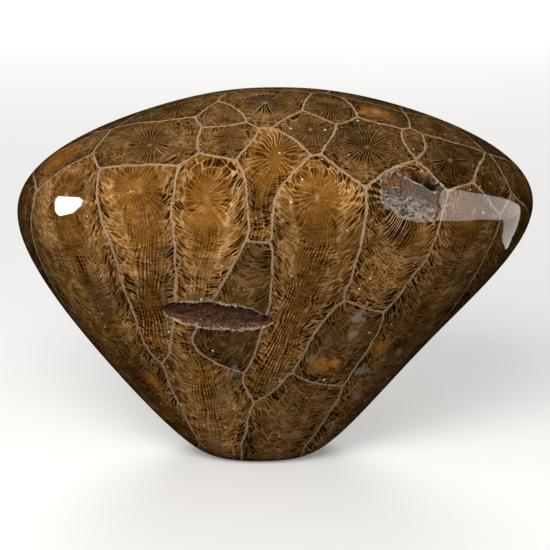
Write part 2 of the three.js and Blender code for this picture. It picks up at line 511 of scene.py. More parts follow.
class Graph:
    """Adds nodes to a tree in short steps. A step returns the signal that carries its result."""

    def __init__(self, tree):
        self.tree = tree

    def node(self, kind, inputs=(), **settings):
        made = self.tree.nodes.new(kind)
        for name, value in settings.items():
            setattr(made, name, value)
        for name, value in dict(inputs).items():
            self.feed(made.inputs[name], value)
        return made

    def signal(self, kind, inputs, output=0, **settings):
        """Adds a node, and returns one of its outputs."""
        return Signal(self, self.node(kind, inputs, **settings).outputs[output])

    def signals(self, kind, inputs=(), **settings):
        """Adds a node, and returns its outputs by name."""
        return {socket.name: Signal(self, socket) for socket in self.node(kind, inputs, **settings).outputs}

    def feed(self, socket, value):
        if isinstance(value, Signal):
            self.tree.links.new(value.socket, socket)
        elif isinstance(value, Color):
            socket.default_value = (*value, 1.0)
        else:
            socket.default_value = value

    def math(self, operation, first, second=0.0, clamp=False):
        return self.signal("ShaderNodeMath", {0: first, 1: second}, operation=operation, use_clamp=clamp)

    def vector(self, operation, first, second=(0.0, 0.0, 0.0)):
        output = "Value" if operation in ("LENGTH", "DISTANCE") else "Vector"
        return self.signal("ShaderNodeVectorMath", {0: first, 1: second}, output, operation=operation)

    def scale(self, first, factor):
        return self.signal("ShaderNodeVectorMath", {0: first, "Scale": factor}, operation="SCALE")

    def parts(self, vector):
        return list(self.signals("ShaderNodeSeparateXYZ", {0: vector}).values())

    def joined(self, x, y, z):
        return self.signal("ShaderNodeCombineXYZ", {0: x, 1: y, 2: z})

    def remap(self, value, low, high, start=0.0, end=1.0):
        """A smooth step from start to end while the value goes from low to high."""
        return self.signal("ShaderNodeMapRange", {0: value, 1: low, 2: high, 3: start, 4: end},
                           interpolation_type="SMOOTHSTEP")

    def band(self, value, middle, low, high):
        """1 where the value is near the middle, 0 where it is further than high from it."""
        return self.remap(abs(value - middle), low, high, 1.0, 0.0)

    def mix(self, share, first, second, blend="MIX"):
        """Mixes two colours."""
        return self.signal("ShaderNodeMix", {0: share, 6: first, 7: second}, 2, data_type="RGBA",
                           blend_type=blend)

    def blend(self, share, first, second):
        """Mixes two numbers."""
        return self.signal("ShaderNodeMix", {0: share, 2: first, 3: second}, data_type="FLOAT")

    def noise(self, vector, size, detail=2.0, roughness=0.5):
        """Noise whose features have the given size."""
        return self.signal("ShaderNodeTexNoise", {"Vector": vector, "Scale": 1 / size, "Detail": detail,
                                                  "Roughness": roughness})

    def noise_vector(self, vector, size):
        drift = self.signal("ShaderNodeTexNoise", {"Vector": vector, "Scale": 1 / size, "Detail": 1.0}, 1)
        return self.vector("SUBTRACT", drift, (0.5, 0.5, 0.5))

    def cells(self, vector, size, feature="F1"):
        """The outputs of a texture of random cells of the given size."""
        return self.signals("ShaderNodeTexVoronoi", {"Vector": vector, "Scale": 1 / size, "Randomness": 1.0},
                            voronoi_dimensions="3D", feature=feature)

    def attribute(self, name, output="Fac"):
        return self.signals("ShaderNodeAttribute", attribute_name=name)[output]

    def coordinate(self, kind):
        return self.signals("ShaderNodeTexCoord")[kind]

    def group(self, tree, inputs):
        return self.signals("ShaderNodeGroup", inputs, node_tree=tree)


def new_group(name, inputs, outputs):
    """An empty shader group with the given sockets, and a graph to fill it with."""
    tree = bpy.data.node_groups.new(name, "ShaderNodeTree")
    for label, kind, default in inputs:
        socket = tree.interface.new_socket(label, in_out="INPUT", socket_type=kind)
        if default is not None:
            socket.default_value = default
    for label in outputs:
        tree.interface.new_socket(label, in_out="OUTPUT", socket_type=FLOAT)
    graph = Graph(tree)
    return graph, graph.signals("NodeGroupInput")


def finish_group(graph, results):
    """Feeds the results to the group's outputs."""
    graph.node("NodeGroupOutput", results)
    return graph.tree


FLOAT = "NodeSocketFloat"
VECTOR = "NodeSocketVector"


def make_threads_group():
    """The coral's inner build: septa along the tube, and the vesicles that rise from it to the wall."""
    graph, given = new_group(
        "coral_threads",
        [("Place", VECTOR, None), ("Cup", VECTOR, None), ("Tube", FLOAT, 0.004), ("Shade", FLOAT, 0.5),
         ("Septa", FLOAT, 20.0), ("Vesicle", FLOAT, 0.0011), ("Vesicle Length", FLOAT, 0.0023),
         ("Slope", FLOAT, 1.0)],
        ["Thread", "Hollow", "Spoke", "Ratio"],
    )
    wander = graph.noise_vector(given["Place"], 3.8 * MM)
    ripple = graph.noise_vector(given["Place"], 1.1 * MM)
    seed = given["Shade"] * 97.0

    straight = graph.vector("ADD", graph.scale(wander, 0.45 * MM), graph.scale(ripple, 0.16 * MM))
    x, y, height = graph.parts(graph.vector("ADD", given["Cup"], straight))
    flat = graph.joined(x, y, 0.0)
    ratio = graph.vector("LENGTH", flat) / given["Tube"]
    drift_place = graph.vector("ADD", graph.scale(graph.vector("NORMALIZE", flat), 2.6),
                               graph.joined(0.0, seed, height * (1 / (11 * MM))))
    drift = (graph.noise(drift_place, 1.0) - 0.5) * 7.0
    extra = given["Shade"] * 4.0
    septa = graph.math("ROUND", given["Septa"] + extra)
    phase = graph.math("ARCTAN2", y, x) * septa + drift
    whole = graph.math("COSINE", phase)
    halves = graph.math("COSINE", phase * 2.0)
    spoke = graph.blend(graph.remap(ratio, 0.36, 0.6), whole, halves)
    spoke = (spoke + 1.0) * 0.5

    bent = graph.vector("ADD", graph.scale(wander, 0.9 * MM), graph.scale(ripple, 0.3 * MM))
    x, y, height = graph.parts(graph.vector("ADD", given["Cup"], bent))
    radius = graph.vector("LENGTH", graph.joined(x, y, 0.0))
    share = radius / given["Tube"]
    rise = radius * share * given["Slope"]
    level = (height - rise * 0.5) / given["Vesicle"]
    wide = 1.0 / given["Vesicle Length"]
    place = graph.joined(x * wide, y * wide, level + seed)
    edge = graph.cells(place, 1.0, "DISTANCE_TO_EDGE")["Distance"]
    fill = graph.parts(graph.cells(place, 1.0)["Color"])[0]
    thread = graph.remap(edge, 0.0, 0.17, 1.0, 0.0)
    return finish_group(graph, {"Thread": thread, "Hollow": fill, "Spoke": spoke, "Ratio": ratio})


def make_clouds_group():
    """Slow changes of tone through the stone, and the tiny pale specks in it, which the materials also use
    for painted glints.
    """
    graph, given = new_group(
        "mineral_clouds",
        [("Place", VECTOR, None), ("Cloud Size", FLOAT, 0.009), ("Speck Spacing", FLOAT, 0.0021),
         ("Speck Size", FLOAT, 0.00026)],
        ["Cloud", "Mottle", "Speck"],
    )
    cloud = graph.noise(given["Place"], given["Cloud Size"], 2.0, 0.55)
    mottle = graph.noise(given["Place"], given["Cloud Size"] / 4.3, 3.0, 0.6)
    grains = graph.cells(given["Place"], given["Speck Spacing"])
    chosen = graph.remap(graph.parts(grains["Color"])[0], 0.45, 1.0)
    near = given["Speck Size"] / given["Speck Spacing"] * chosen - grains["Distance"]
    return finish_group(graph, {
        "Cloud": graph.remap(cloud, 0.3, 0.7), "Mottle": graph.remap(mottle, 0.28, 0.72),
        "Speck": graph.remap(near, 0.0, 0.03),
    })


def new_material(name, ior=1.5):
    material = bpy.data.materials.new(name)
    material.use_nodes = True
    material.node_tree.nodes.clear()
    graph = Graph(material.node_tree)
    shader = graph.node("ShaderNodeBsdfPrincipled", {"IOR": ior})
    graph.node("ShaderNodeOutputMaterial", {"Surface": Signal(graph, shader.outputs[0])})
    return material, graph, shader


def colour_vug(graph, look, colour, read):
    """Adds the long vug: a plum floor inside a pale crystal rim."""
    floor = graph.mix(graph.remap(read.grain, 0.42, 0.68), look.vug_colour, look.vug_glint)
    colour = graph.mix(graph.remap(read.vug, 0.0, 0.16), colour, floor)
    rim = graph.band(read.vug, 0.02, 0.03, 0.12) * graph.remap(read.grain, 0.35, 0.6)
    return graph.mix(rim, colour, look.rim_colour)


def colour_pocket(graph, look, colour, read, broken):
    """Adds the pocket: brown grains, amber at the upper left, lilac below, a pale painted highlight along its
    broken upper edge, and black painted shadow in the slot under that edge.
    """
    grain = read.grain
    along, across, _ = graph.parts(graph.attribute("pit", "Vector"))
    uneven = broken * 0.8
    floor = graph.mix(graph.remap(grain, 0.38, 0.62), look.pocket_colour, look.pocket_brown)
    amber = graph.mix(0.35, look.rust_shade, look.rust_colour)
    amber = graph.mix(graph.remap(grain, 0.4, 0.65), look.gap_colour, amber)
    floor = graph.mix(graph.remap(across - along * 0.7 + uneven, 0.4, 0.9), floor, amber)
    lumps = graph.remap(graph.noise(read.place, 0.75 * MM, 2.0, 0.6), 0.36, 0.6)
    lilac = graph.mix(lumps, look.pocket_colour, look.pocket_glint)
    floor = graph.mix(graph.remap(uneven - across, -0.1, 0.5), floor, lilac)
    above = across + along * 0.3 + broken * 0.14
    # Painted shadow: the slot under the broken upper edge is coloured black, standing in for the shade in
    # that undercut recess.
    painted_slot_shadow = graph.remap(above, 0.66, 0.7) * graph.remap(above, 0.88, 0.94, 1.0, 0.0)
    split = graph.remap(abs(along - 0.36), 0.02, 0.07)
    reach = graph.remap(along, -0.14, -0.04) * graph.remap(along, 0.78, 0.86, 1.0, 0.0)
    # Painted highlight: a pale band in the rim colour along the broken upper edge, where that edge catches
    # the light.
    painted_edge_highlight = graph.band(above, 0.61, 0.015, 0.05) * graph.remap(grain, 0.35, 0.55) * 0.8
    floor = graph.mix(painted_edge_highlight, floor, look.rim_colour)
    colour = graph.mix(graph.remap(read.pocket, 0.0, 0.14), colour, floor)
    return graph.mix(painted_slot_shadow * split * reach, colour, look.black_and_shadow_colour)


def read_stone(graph, look, threads, clouds):
    """What the stone's colours are worked out from: its stored marks, its inner build and its clouds."""
    place = graph.coordinate("Object")
    cell = graph.parts(graph.attribute("cell", "Vector"))
    cup = graph.attribute("cup", "Vector")
    inner = graph.group(threads, {
        "Place": place, "Cup": cup, "Tube": cell[1], "Shade": cell[0], "Septa": float(look.septa),
        "Vesicle": look.vesicle_height, "Vesicle Length": look.vesicle_length, "Slope": look.vesicle_slope,
    })
    return SimpleNamespace(
        place=place, cell=cell, inner=inner, ratio=inner["Ratio"],
        tone=graph.group(clouds, {"Place": place}),
        distance=abs(graph.attribute("wall")),
        stain=graph.parts(graph.attribute("stain", "Vector")),
        vug=graph.attribute("vug"),
        pocket=graph.attribute("pocket"),
        dome=graph.remap(graph.parts(graph.coordinate("Normal"))[2], 0.6, 0.82),
        deep=graph.remap(0.0 - graph.parts(cup)[2], 3 * MM, 16 * MM),
        patch=graph.remap(graph.noise(place, 4.2 * MM, 2.0, 0.6), 0.36, 0.64),
        grain=graph.noise(place, 0.45 * MM, 3.0, 0.7),
    )


def thread_value(graph, read):
    """How light the stone is at each place, from 0 in its gaps to 1 on its threads."""
    ratio, dome, deep = read.ratio, read.dome, read.deep

    # Septa: strong spokes on the dome's cups, faint fibres down the flanks.
    blade = graph.remap(read.inner["Spoke"], 0.25, 0.95)
    start = graph.blend(dome, graph.remap(ratio, 0.1, 0.34), graph.remap(ratio, 0.24, 0.46))
    ring = start * graph.remap(ratio, 0.88, 1.2, 1.0, 0.22)
    faint = graph.blend(read.patch, graph.blend(deep, 0.12, 0.2), graph.blend(deep, 0.26, 0.6))
    crisp = graph.remap(read.cell[2], 0.6, 0.95, 0.62, 0.48)
    strength = graph.math("MAXIMUM", ring * graph.blend(dome, faint, crisp), read.stain[2] * 0.9)
    spokes = graph.blend(strength, graph.blend(dome, 0.54, 0.46), blade)

    # Vesicles: dark lenses between pale skins, strongest beside the walls and deep down the tubes.
    lens = (1.0 - read.inner["Thread"]) * graph.remap(read.inner["Hollow"], 0.0, 0.7, 0.35, 1.0)
    where = graph.blend(dome, graph.remap(ratio, 0.5, 1.1, 0.4, 1.0), graph.remap(ratio, 0.9, 1.3, 0.1, 0.75))
    beside = graph.remap(read.distance, 0.3 * MM, 3.6 * MM, 1.15, 0.5)
    contrast = beside * graph.blend(read.patch, graph.blend(deep, 0.5, 0.85), 1.05)
    contrast = contrast * where * (1.0 - blade * 0.3)
    inside = graph.remap(ratio, 0.85, 1.15, 1.0, 0.0)
    base = graph.blend(inside, graph.blend(strength * 0.5, 0.78, blade), spokes)
    blur = graph.remap(graph.noise(read.place, 3.1 * MM), 0.54, 0.74, 0.0, 0.5)
    value = graph.blend(blur, base - lens * contrast, 0.55)
    return graph.math("ADD", value, (read.tone["Mottle"] - 0.5) * 0.22, clamp=True)


def colour_threads(graph, look, read, value):
    """The stone's browns, partly darkened as painted shade, with growth rings, a dull film on some tubes'
    sides, and paler cup middles.
    """
    colour = graph.mix(graph.remap(value, 0.0, 0.55), look.gap_colour, look.gold_colour)
    colour = graph.mix(graph.remap(value, 0.5, 0.95), colour, look.thread_colour)
    away = graph.vector("DISTANCE", read.place, tuple(part * MM for part in GROWTH_ORIGIN))
    rings = graph.noise(graph.joined(away / (5.5 * MM), read.cell[0] * 40.0, 0.0), 1.0, 1.0)
    shade = graph.remap(read.tone["Cloud"], 0.0, 1.0, 0.78, 1.15) * graph.remap(rings, 0.35, 0.65, 0.8, 1.12)
    # The corallite's tone darkens the colour: partly the stone's own tone, partly painted shade low down and
    # towards the ends.
    shade = shade * graph.math("POWER", read.cell[2], 1.5)
    colour = graph.mix(1.0, colour, graph.joined(shade, shade, shade), "MULTIPLY")
    patches = graph.remap(graph.noise(read.place, 7.0 * MM), 0.48, 0.62, 0.0, 0.34)
    film = graph.band(read.ratio, 1.0, 0.0, 0.14) * read.deep * patches
    colour = graph.mix(film, colour, look.film_colour)
    middle = graph.remap(read.ratio + read.tone["Mottle"] * 0.12, 0.08, 0.24, 0.6, 0.0)
    return graph.mix(middle * read.cell[0], colour, look.thread_colour)


def colour_stains(graph, look, colour, read, value, broken):
    """Adds the black, rusty and grey patches, with broken edges."""
    dark = read.stain[2] * graph.remap(value, 0.3, 0.7, 1.0, 0.0)
    colour = graph.mix(dark, colour, look.black_and_shadow_colour)
    rust = graph.remap(read.stain[0] + broken, 0.35, 0.8) * 0.8
    colour = graph.mix(rust, colour, graph.mix(value, look.rust_shade, look.rust_colour))
    grey = graph.remap(read.stain[1] + broken, 0.25, 1.0) * 0.75
    return graph.mix(grey, colour, look.chalcedony_colour)


def colour_walls(graph, look, colour, read):
    """Adds the pale walls between corallites, with swelling widths and frayed edges."""
    swell = graph.remap(graph.noise(read.place, 2.2 * MM), 0.3, 0.7, 0.75, 1.2)
    fray = (graph.noise(read.place, 0.5 * MM) - 0.5) * (0.55 * MM)
    edge = (read.distance + fray) / (swell * (look.wall_width / 2))
    wall = graph.remap(edge, 0.55, 1.35, 1.0, 0.0) * 0.92
    return graph.mix(wall, colour, graph.mix(read.tone["Mottle"], look.wall_colour, look.wall_shade))


def make_stone_material(look, threads, clouds):
    """The polished coral: gaps, threads, walls, stains and crystal floors, all under one polish."""
    material, graph, shader = new_material("polished_coral")
    read = read_stone(graph, look, threads, clouds)
    value = thread_value(graph, read)
    broken = (graph.noise(read.place, 1.3 * MM, 3.0, 0.7) - 0.5) * 1.7 - (value - 0.5) * 0.35
    colour = colour_threads(graph, look, read, value)
    colour = colour_stains(graph, look, colour, read, value, broken)
    colour = colour_walls(graph, look, colour, read)
    # Pale specks: partly the stone's own pale grains, partly painted glints where pinholes catch the light.
    colour = graph.mix(read.tone["Speck"], colour, look.speck_and_glint_colour)
    colour = colour_vug(graph, look, colour, read)
    colour = colour_pocket(graph, look, colour, read, broken)
    hollow = graph.math("MAXIMUM", graph.remap(read.vug, 0.0, 0.16), graph.remap(read.pocket, 0.0, 0.14))
    polish = graph.remap(read.tone["Mottle"], 0.0, 1.0, look.polish * 0.8, look.polish * 1.3)
    relief = read.grain * hollow - read.tone["Speck"] * 0.15
    graph.feed(shader.inputs["Base Color"], colour)
    graph.feed(shader.inputs["Roughness"], graph.blend(hollow, polish, 0.55))
    graph.feed(shader.inputs["Normal"], graph.signal("ShaderNodeBump", {
        "Height": relief, "Distance": 0.35 * MM, "Strength": 0.8,
    }))
    return material


def make_crystal_material(name, pale, deep, sizes, clouds, roughness):
    """Small crystals: pale tips of calcite or quartz, with deeper colour drifting through them."""
    material, graph, shader = new_material(name, ior=1.6)
    place = graph.coordinate("Object")
    tone = graph.group(clouds, {"Place": place, "Cloud Size": 1.4 * MM, "Speck Spacing": 0.9 * MM})
    colour = graph.mix(tone["Cloud"], deep, pale)
    colour = graph.mix(tone["Speck"] * 0.25, colour, sizes.glint_colour)
    graph.feed(shader.inputs["Base Color"], colour)
    graph.feed(shader.inputs["Roughness"], graph.remap(tone["Mottle"], 0.0, 1.0, roughness, roughness * 2))
    return material


def make_floor_material(look):
    material, graph, shader = new_material("pale_floor")
    place = graph.coordinate("Object")
    drift = graph.noise(place, 1 / 6)
    colour = graph.mix(drift * 0.12, look.floor_colour, (0.7, 0.7, 0.69, 1.0))
    graph.feed(shader.inputs["Base Color"], colour)
    graph.feed(shader.inputs["Roughness"], 0.9)
    graph.feed(shader.inputs["Emission Color"], look.floor_colour)
    graph.feed(shader.inputs["Emission Strength"], look.floor_glow)
    return material


# ---------------------------------------------------------------- meshes

def refine_hollows(mesh, rise, turn):
    """Divides the faces at the hollows, and puts the new vertices back on the skin."""
    form = bmesh.new()
    form.from_mesh(mesh)
    rise_layer = form.verts.layers.float.new("rise")
    turn_layer = form.verts.layers.float.new("turn")
    form.verts.ensure_lookup_table()
    for vertex, up, round_it in zip(form.verts, rise.tolist(), turn.tolist()):
        vertex[rise_layer] = up
        vertex[turn_layer] = round_it
    edges = set()
    for face in form.faces:
        centre = np.array([face.calc_center_median()])
        if centre[0, 1] > 0:
            continue
        for hollow in (VUG, POCKET):
            along, across = hollow_places(centre, hollow)
            if abs(along[0]) < 1.25 and abs(across[0]) < 1.55:
                edges.update(face.edges)
                break
    bmesh.ops.subdivide_edges(form, edges=list(edges), cuts=2, use_grid_fill=True)
    first_new = len(rise)
    form.verts.ensure_lookup_table()
    added = [form.verts[index] for index in range(first_new, len(form.verts))]
    places = skin_points(np.array([vertex[rise_layer] for vertex in added]),
                         np.array([vertex[turn_layer] for vertex in added]))
    for vertex, place in zip(added, places.tolist()):
        vertex.co = place
    form.verts.layers.float.remove(rise_layer)
    form.verts.layers.float.remove(form.verts.layers.float["turn"])
    form.to_mesh(mesh)
    form.free()


def read_numbers(items, field, kind=np.float32):
    values = np.empty(len(items), kind)
    items.foreach_get(field, values)
    return values


def read_vectors(items, field):
    values = np.empty(len(items) * 3, np.float32)
    items.foreach_get(field, values)
    return values.reshape(-1, 3).astype(float)


def store(mesh, name, kind, domain, values):
    attribute = mesh.attributes.new(name, kind, domain)
    field = "vector" if kind == "FLOAT_VECTOR" else "value"
    attribute.data.foreach_set(field, np.ravel(values).astype(np.float32))


def add_object(name, mesh):
    piece = bpy.data.objects.new(name, mesh)
    bpy.context.scene.collection.objects.link(piece)
    return piece


def build_stone_mesh(sizes):
    """The stone with its hollows sunk in, and every mark of the coral stored on it."""
    points, faces, rise, turn = skin_grid(sizes.rings, sizes.sides, sizes.foot_rings)
    mesh = bpy.data.meshes.new("coral_stone")
    mesh.from_pydata(points.tolist(), [], faces)
    refine_hollows(mesh, rise, turn)
    points = read_vectors(mesh.vertices, "co")
    normals = read_vectors(mesh.vertex_normals, "vector")
    colony = grow_colony(Skin(points, normals))
    corners = read_numbers(mesh.loops, "vertex_index", np.int32)
    counts = read_numbers(mesh.polygons, "loop_total", np.int32)
    face_of_corner = np.repeat(np.arange(len(counts)), counts)
    centres = read_vectors(mesh.polygons, "center")
    cup, wall, cell = colony_marks(points, normals, corners, face_of_corner, centres, colony)
    front = points[:, 1] < 0
    vug = np.full(len(points), -1.0)
    pocket = np.full(len(points), -1.0)
    vug[front] = vug_inside(points[front])
    pocket[front] = pocket_inside(points[front])
    depth = np.zeros(len(points))
    sunk = (vug > 0) | (pocket > 0)
    depth[sunk] = hollow_depths(points[sunk], vug[sunk], pocket[sunk])
    lowered = points - normals * depth[:, None]
    mesh.vertices.foreach_set("co", lowered.ravel().astype(np.float32))
    store(mesh, "cup", "FLOAT_VECTOR", "CORNER", cup)
    store(mesh, "cell", "FLOAT_VECTOR", "CORNER", cell)
    store(mesh, "wall", "FLOAT", "CORNER", wall)
    store(mesh, "stain", "FLOAT_VECTOR", "POINT", stain_marks(points))
    store(mesh, "vug", "FLOAT", "POINT", vug)
    store(mesh, "pocket", "FLOAT", "POINT", pocket)
    along, across = hollow_places(points, POCKET)
    pit = np.stack([along, across, np.zeros(len(points))], axis=1)
    store(mesh, "pit", "FLOAT_VECTOR", "POINT", pit)
    store(mesh, "pocket_crust", "FLOAT", "POINT", np.where(across < 0.1 - 0.25 * along, pocket, -1.0))
    along = hollow_places(points, VUG)[0]
    lumpy = 1.1 * noise_at(points, 2.2 * MM, 6) + 0.5 * along
    store(mesh, "vug_crust", "FLOAT", "POINT", np.where(lumpy > 0.05, vug, -1.0))
    mesh.shade_smooth()
    mesh.update()
    return mesh


def hollow_floor(stone, name, lowest, highest):
    """A copy of the stone's faces whose mark lies between the two values, for crystals to stand on."""
    marks = read_numbers(stone.data.attributes[name].data, "value")
    kept = {}
    faces = []
    for face in stone.data.polygons:
        if all(lowest < marks[index] < highest for index in face.vertices):
            faces.append([kept.setdefault(index, len(kept)) for index in face.vertices])
    mesh = bpy.data.meshes.new(name + "_floor")
    mesh.from_pydata([stone.data.vertices[index].co for index in kept], [], faces)
    mesh.update()
    return mesh


def make_druse_tree():
    """Stands dogtooth crystals on the faces it is given, at random sizes and tilts."""
    tree = bpy.data.node_groups.new("druse", "GeometryNodeTree")
    face = tree.interface
    face.new_socket("Geometry", in_out="INPUT", socket_type="NodeSocketGeometry")
    for label, kind in (("Spacing", FLOAT), ("Smallest", FLOAT), ("Largest", FLOAT), ("Tilt", FLOAT),
                        ("Seed", "NodeSocketInt"), ("Material", "NodeSocketMaterial")):
        face.new_socket(label, in_out="INPUT", socket_type=kind)
    face.new_socket("Geometry", in_out="OUTPUT", socket_type="NodeSocketGeometry")
    graph = Graph(tree)
    given = graph.signals("NodeGroupInput")
    spacing, tilt, seed = (given[label] for label in ("Spacing", "Tilt", "Seed"))
    scatter = graph.signals("GeometryNodeDistributePointsOnFaces", {
        "Mesh": given["Geometry"], "Distance Min": spacing * 0.6, "Density Max": 1.0 / (spacing * spacing),
        "Seed": seed,
    }, distribute_method="POISSON")
    tooth = graph.signal("GeometryNodeMeshCone", {"Vertices": 6, "Side Segments": 1, "Fill Segments": 1,
                                                  "Radius Top": 0.06, "Radius Bottom": 0.42, "Depth": 1.0})
    back = tilt * -1.0
    lean = graph.signal("FunctionNodeRandomValue", {
        0: graph.joined(back, back, -math.pi), 1: graph.joined(tilt, tilt, math.pi), "Seed": seed,
    }, data_type="FLOAT_VECTOR")
    turn = graph.signal("FunctionNodeEulerToRotation", {0: lean})
    stand = graph.signal("FunctionNodeRotateRotation", {0: scatter["Rotation"], 1: turn},
                         rotation_space="LOCAL")
    size = graph.signal("FunctionNodeRandomValue", {2: given["Smallest"], 3: given["Largest"],
                                                    "Seed": seed + 1.0}, 1, data_type="FLOAT")
    placed = graph.signal("GeometryNodeInstanceOnPoints", {"Points": scatter["Points"], "Instance": tooth,
                                                           "Rotation": stand, "Scale": size})
    real = graph.signal("GeometryNodeRealizeInstances", {0: placed})
    dressed = graph.signal("GeometryNodeSetMaterial", {"Geometry": real, "Material": given["Material"]})
    return finish_group(graph, {0: dressed})


def grow_druse(name, floor, tree, settings):
    """Runs the crystal tree on a floor, and keeps the result as a plain mesh."""
    source = add_object(name + "_source", floor)
    modifier = source.modifiers.new("druse", "NODES")
    modifier.node_group = tree
    for item in tree.interface.items_tree:
        if item.in_out == "INPUT" and item.name in settings:
            modifier[item.identifier] = settings[item.name]
    graph = bpy.context.evaluated_depsgraph_get()
    mesh = bpy.data.meshes.new_from_object(source.evaluated_get(graph))
    mesh.name = name
    bpy.data.objects.remove(source)
    return add_object(name, mesh)


# ---------------------------------------------------------------- settings

def number(name, description, default, **options):
    return FloatProperty(name=name, description=description, default=default, **options)


def length(name, description, default):
    return number(name, description, default, unit="LENGTH", precision=5)


def colour(name, description, default):
    return FloatVectorProperty(name=name, description=description, default=default, subtype="COLOR",
                               min=0.0, max=1.0)


class CoralStoneSettings(bpy.types.PropertyGroup):
    """Sizes and colours of the stone."""
    rings: IntProperty(name="Rings", description="Level rings of faces from foot to apex", default=190)
    sides: IntProperty(name="Sides", description="Faces round the stone", default=410)
    foot_rings: IntProperty(name="Foot rings", description="Rings of faces across the foot", default=12)
    septa: IntProperty(name="Septa", description="Long radial blades in each corallite", default=18)
    vesicle_height: length("Vesicle height", "Height of one vesicle along the tube", 0.7 * MM)
    vesicle_length: length("Vesicle length", "Length of one vesicle across the tube", 2.2 * MM)
    vesicle_slope: number("Vesicle slope", "Rise of the vesicles outwards", 0.78)
    wall_width: length("Wall width", "Width of the walls between corallites", 0.42 * MM)
    polish: number("Polish", "Roughness of the polished face", 0.055)
    gap_colour: colour("Gaps", "Dark fill between the threads", (0.025, 0.0075, 0.0006))
    gold_colour: colour("Gold", "Middle tone of the stone", (0.175, 0.071, 0.0115))
    thread_colour: colour("Threads", "Septa and vesicle skins", (0.47, 0.29, 0.122))
    # Black is also painted into the pocket's slot as painted shadow.
    black_and_shadow_colour: colour("Black", "Gaps where the stone is darkest", (0.006, 0.004, 0.003))
    film_colour: colour("Film", "Dull film along the tubes", (0.22, 0.145, 0.072))
    wall_colour: colour("Walls", "Walls between corallites", (0.335, 0.238, 0.142))
    wall_shade: colour("Wall shade", "Walls where they are duller", (0.25, 0.172, 0.1))
    rust_colour: colour("Rust", "Iron stains", (0.42, 0.165, 0.022))
    rust_shade: colour("Rust shade", "Iron stains in the gaps", (0.15, 0.05, 0.006))
    chalcedony_colour: colour("Chalcedony", "Grey mineral patches", (0.25, 0.212, 0.168))
    # Specks are partly pale grains and partly painted glints in pinholes.
    speck_and_glint_colour: colour("Specks", "Tiny pale specks", (0.62, 0.56, 0.46))
    vug_colour: colour("Vug floor", "Floor of the long vug", (0.048, 0.017, 0.007))
    vug_glint: colour("Vug glints", "Small crystals on the vug's floor", (0.125, 0.055, 0.024))
    rim_colour: colour("Vug rim", "Pale crystal rim of the vug", (0.45, 0.36, 0.24))
    pocket_colour: colour("Pocket floor", "Floor of the broken pocket", (0.045, 0.034, 0.028))
    pocket_brown: colour("Pocket brown", "Grains on the pocket's floor", (0.125, 0.08, 0.044))
    pocket_glint: colour("Pocket glints", "Pale mineral low in the pocket", (0.27, 0.215, 0.18))


class CoralCrystalSettings(bpy.types.PropertyGroup):
    """Sizes of the crystals in the hollows."""
    vug_spacing: length("Vug spacing", "Distance between crystals in the vug", 0.5 * MM)
    vug_size: length("Vug crystal", "Longest crystal in the vug", 0.55 * MM)
    pocket_spacing: length("Pocket spacing", "Distance between crystals in the pocket", 1.0 * MM)
    pocket_size: length("Pocket crystal", "Longest crystal in the pocket", 1.15 * MM)
    tilt: number("Tilt", "How far crystals lean", 0.7, subtype="ANGLE")
    plum_colour: colour("Plum", "Tips of the vug's crystals", (0.115, 0.048, 0.019))
    plum_shade: colour("Plum shade", "Deeper tone of the vug's crystals", (0.04, 0.014, 0.005))
    rim_colour: colour("Rim", "Tips of the crystals on the vug's rim", (0.60, 0.51, 0.40))
    rim_shade: colour("Rim shade", "Deeper tone of the rim's crystals", (0.30, 0.21, 0.13))
    smoke_colour: colour("Smoke", "Tips of the pocket's crystals", (0.27, 0.22, 0.185))
    smoke_shade: colour("Smoke shade", "Deeper tone of the pocket's crystals", (0.05, 0.038, 0.032))
    glint_colour: colour("Glints", "Tiny pale specks in the crystals", (0.7, 0.68, 0.64))


class CoralStageSettings(bpy.types.PropertyGroup):
    """The studio: floor, camera and lights."""
    floor_size: length("Floor size", "Side of the square floor", 6.0)
    floor_colour: colour("Floor", "Colour of the floor", (0.56, 0.55, 0.535))
    lens: number("Lens", "Focal length in millimetres", 135.0)
    view_width: length("View width", "Width seen at the stone", 109.0 * MM)
    look_height: length("Look height", "Height that the camera looks at", 36.2 * MM)
    elevation: number("Elevation", "Camera's angle above level", math.radians(15), subtype="ANGLE")
    surround: number("Surround", "Strength of the light all round", 0.26)
    floor_glow: number("Floor glow", "Evens out the floor's light", 0.35)
    front_light: number("Front light", "Brightness of the front softbox", 12.9)
    back_light: number("Back light", "Brightness of the back softbox", 11.0)
    left_window: number("Left window", "Brightness of the left window", 26.0)
    right_window: number("Right window", "Brightness of the right window", 3.9)
    window_foot: number("Window foot", "Brightness of its lower part", 2.8)


# ---------------------------------------------------------------- operators

class CORAL_OT_carve_stone(bpy.types.Operator):
    """Make the polished stone with its corallites, walls and hollows"""
    bl_idname = "coral.carve_stone"
    bl_label = "Carve Stone"

    def execute(self, context):
        look = context.scene.coral_stone
        stone = add_object("coral_stone", build_stone_mesh(look))
        stone.data.materials.append(make_stone_material(look, make_threads_group(), make_clouds_group()))
        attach(stone, "root")
        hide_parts("coral_head")
        return {"FINISHED"}


